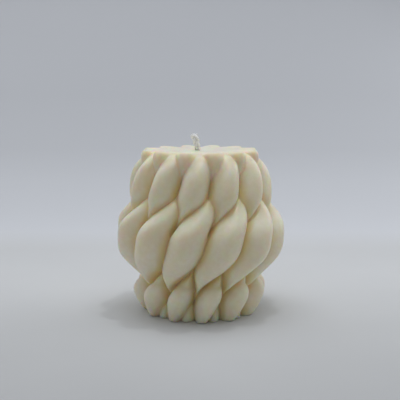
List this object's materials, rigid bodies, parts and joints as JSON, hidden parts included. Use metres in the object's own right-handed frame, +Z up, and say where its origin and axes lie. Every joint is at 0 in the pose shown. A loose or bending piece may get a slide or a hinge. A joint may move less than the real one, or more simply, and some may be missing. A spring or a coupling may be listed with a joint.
{
  "type": "pillar candle",
  "caption": "Moulded soy wax pillar candle shaped as a barrel of twisted ropes with leaning petals, flat on top, with a plaited cotton wick.",
  "frame": {"origin": "centre of the flat base, on the candle's axis", "axes": "+Z up along the candle's axis towards the wick; -Y faces the viewer of the picture; +X is the viewer's right"},
  "size_m": [0.0902, 0.0902, 0.0959],
  "materials": {
    "soy_wax": "satin ivory wax, slightly translucent",
    "cotton": "plaited white cotton yarn"
  },
  "bodies": {
    "root": {"wax_body": "soy_wax", "wick_strand_a": "cotton", "wick_strand_b": "cotton", "wick_strand_c": "cotton"}
  },
  "joints": []
}
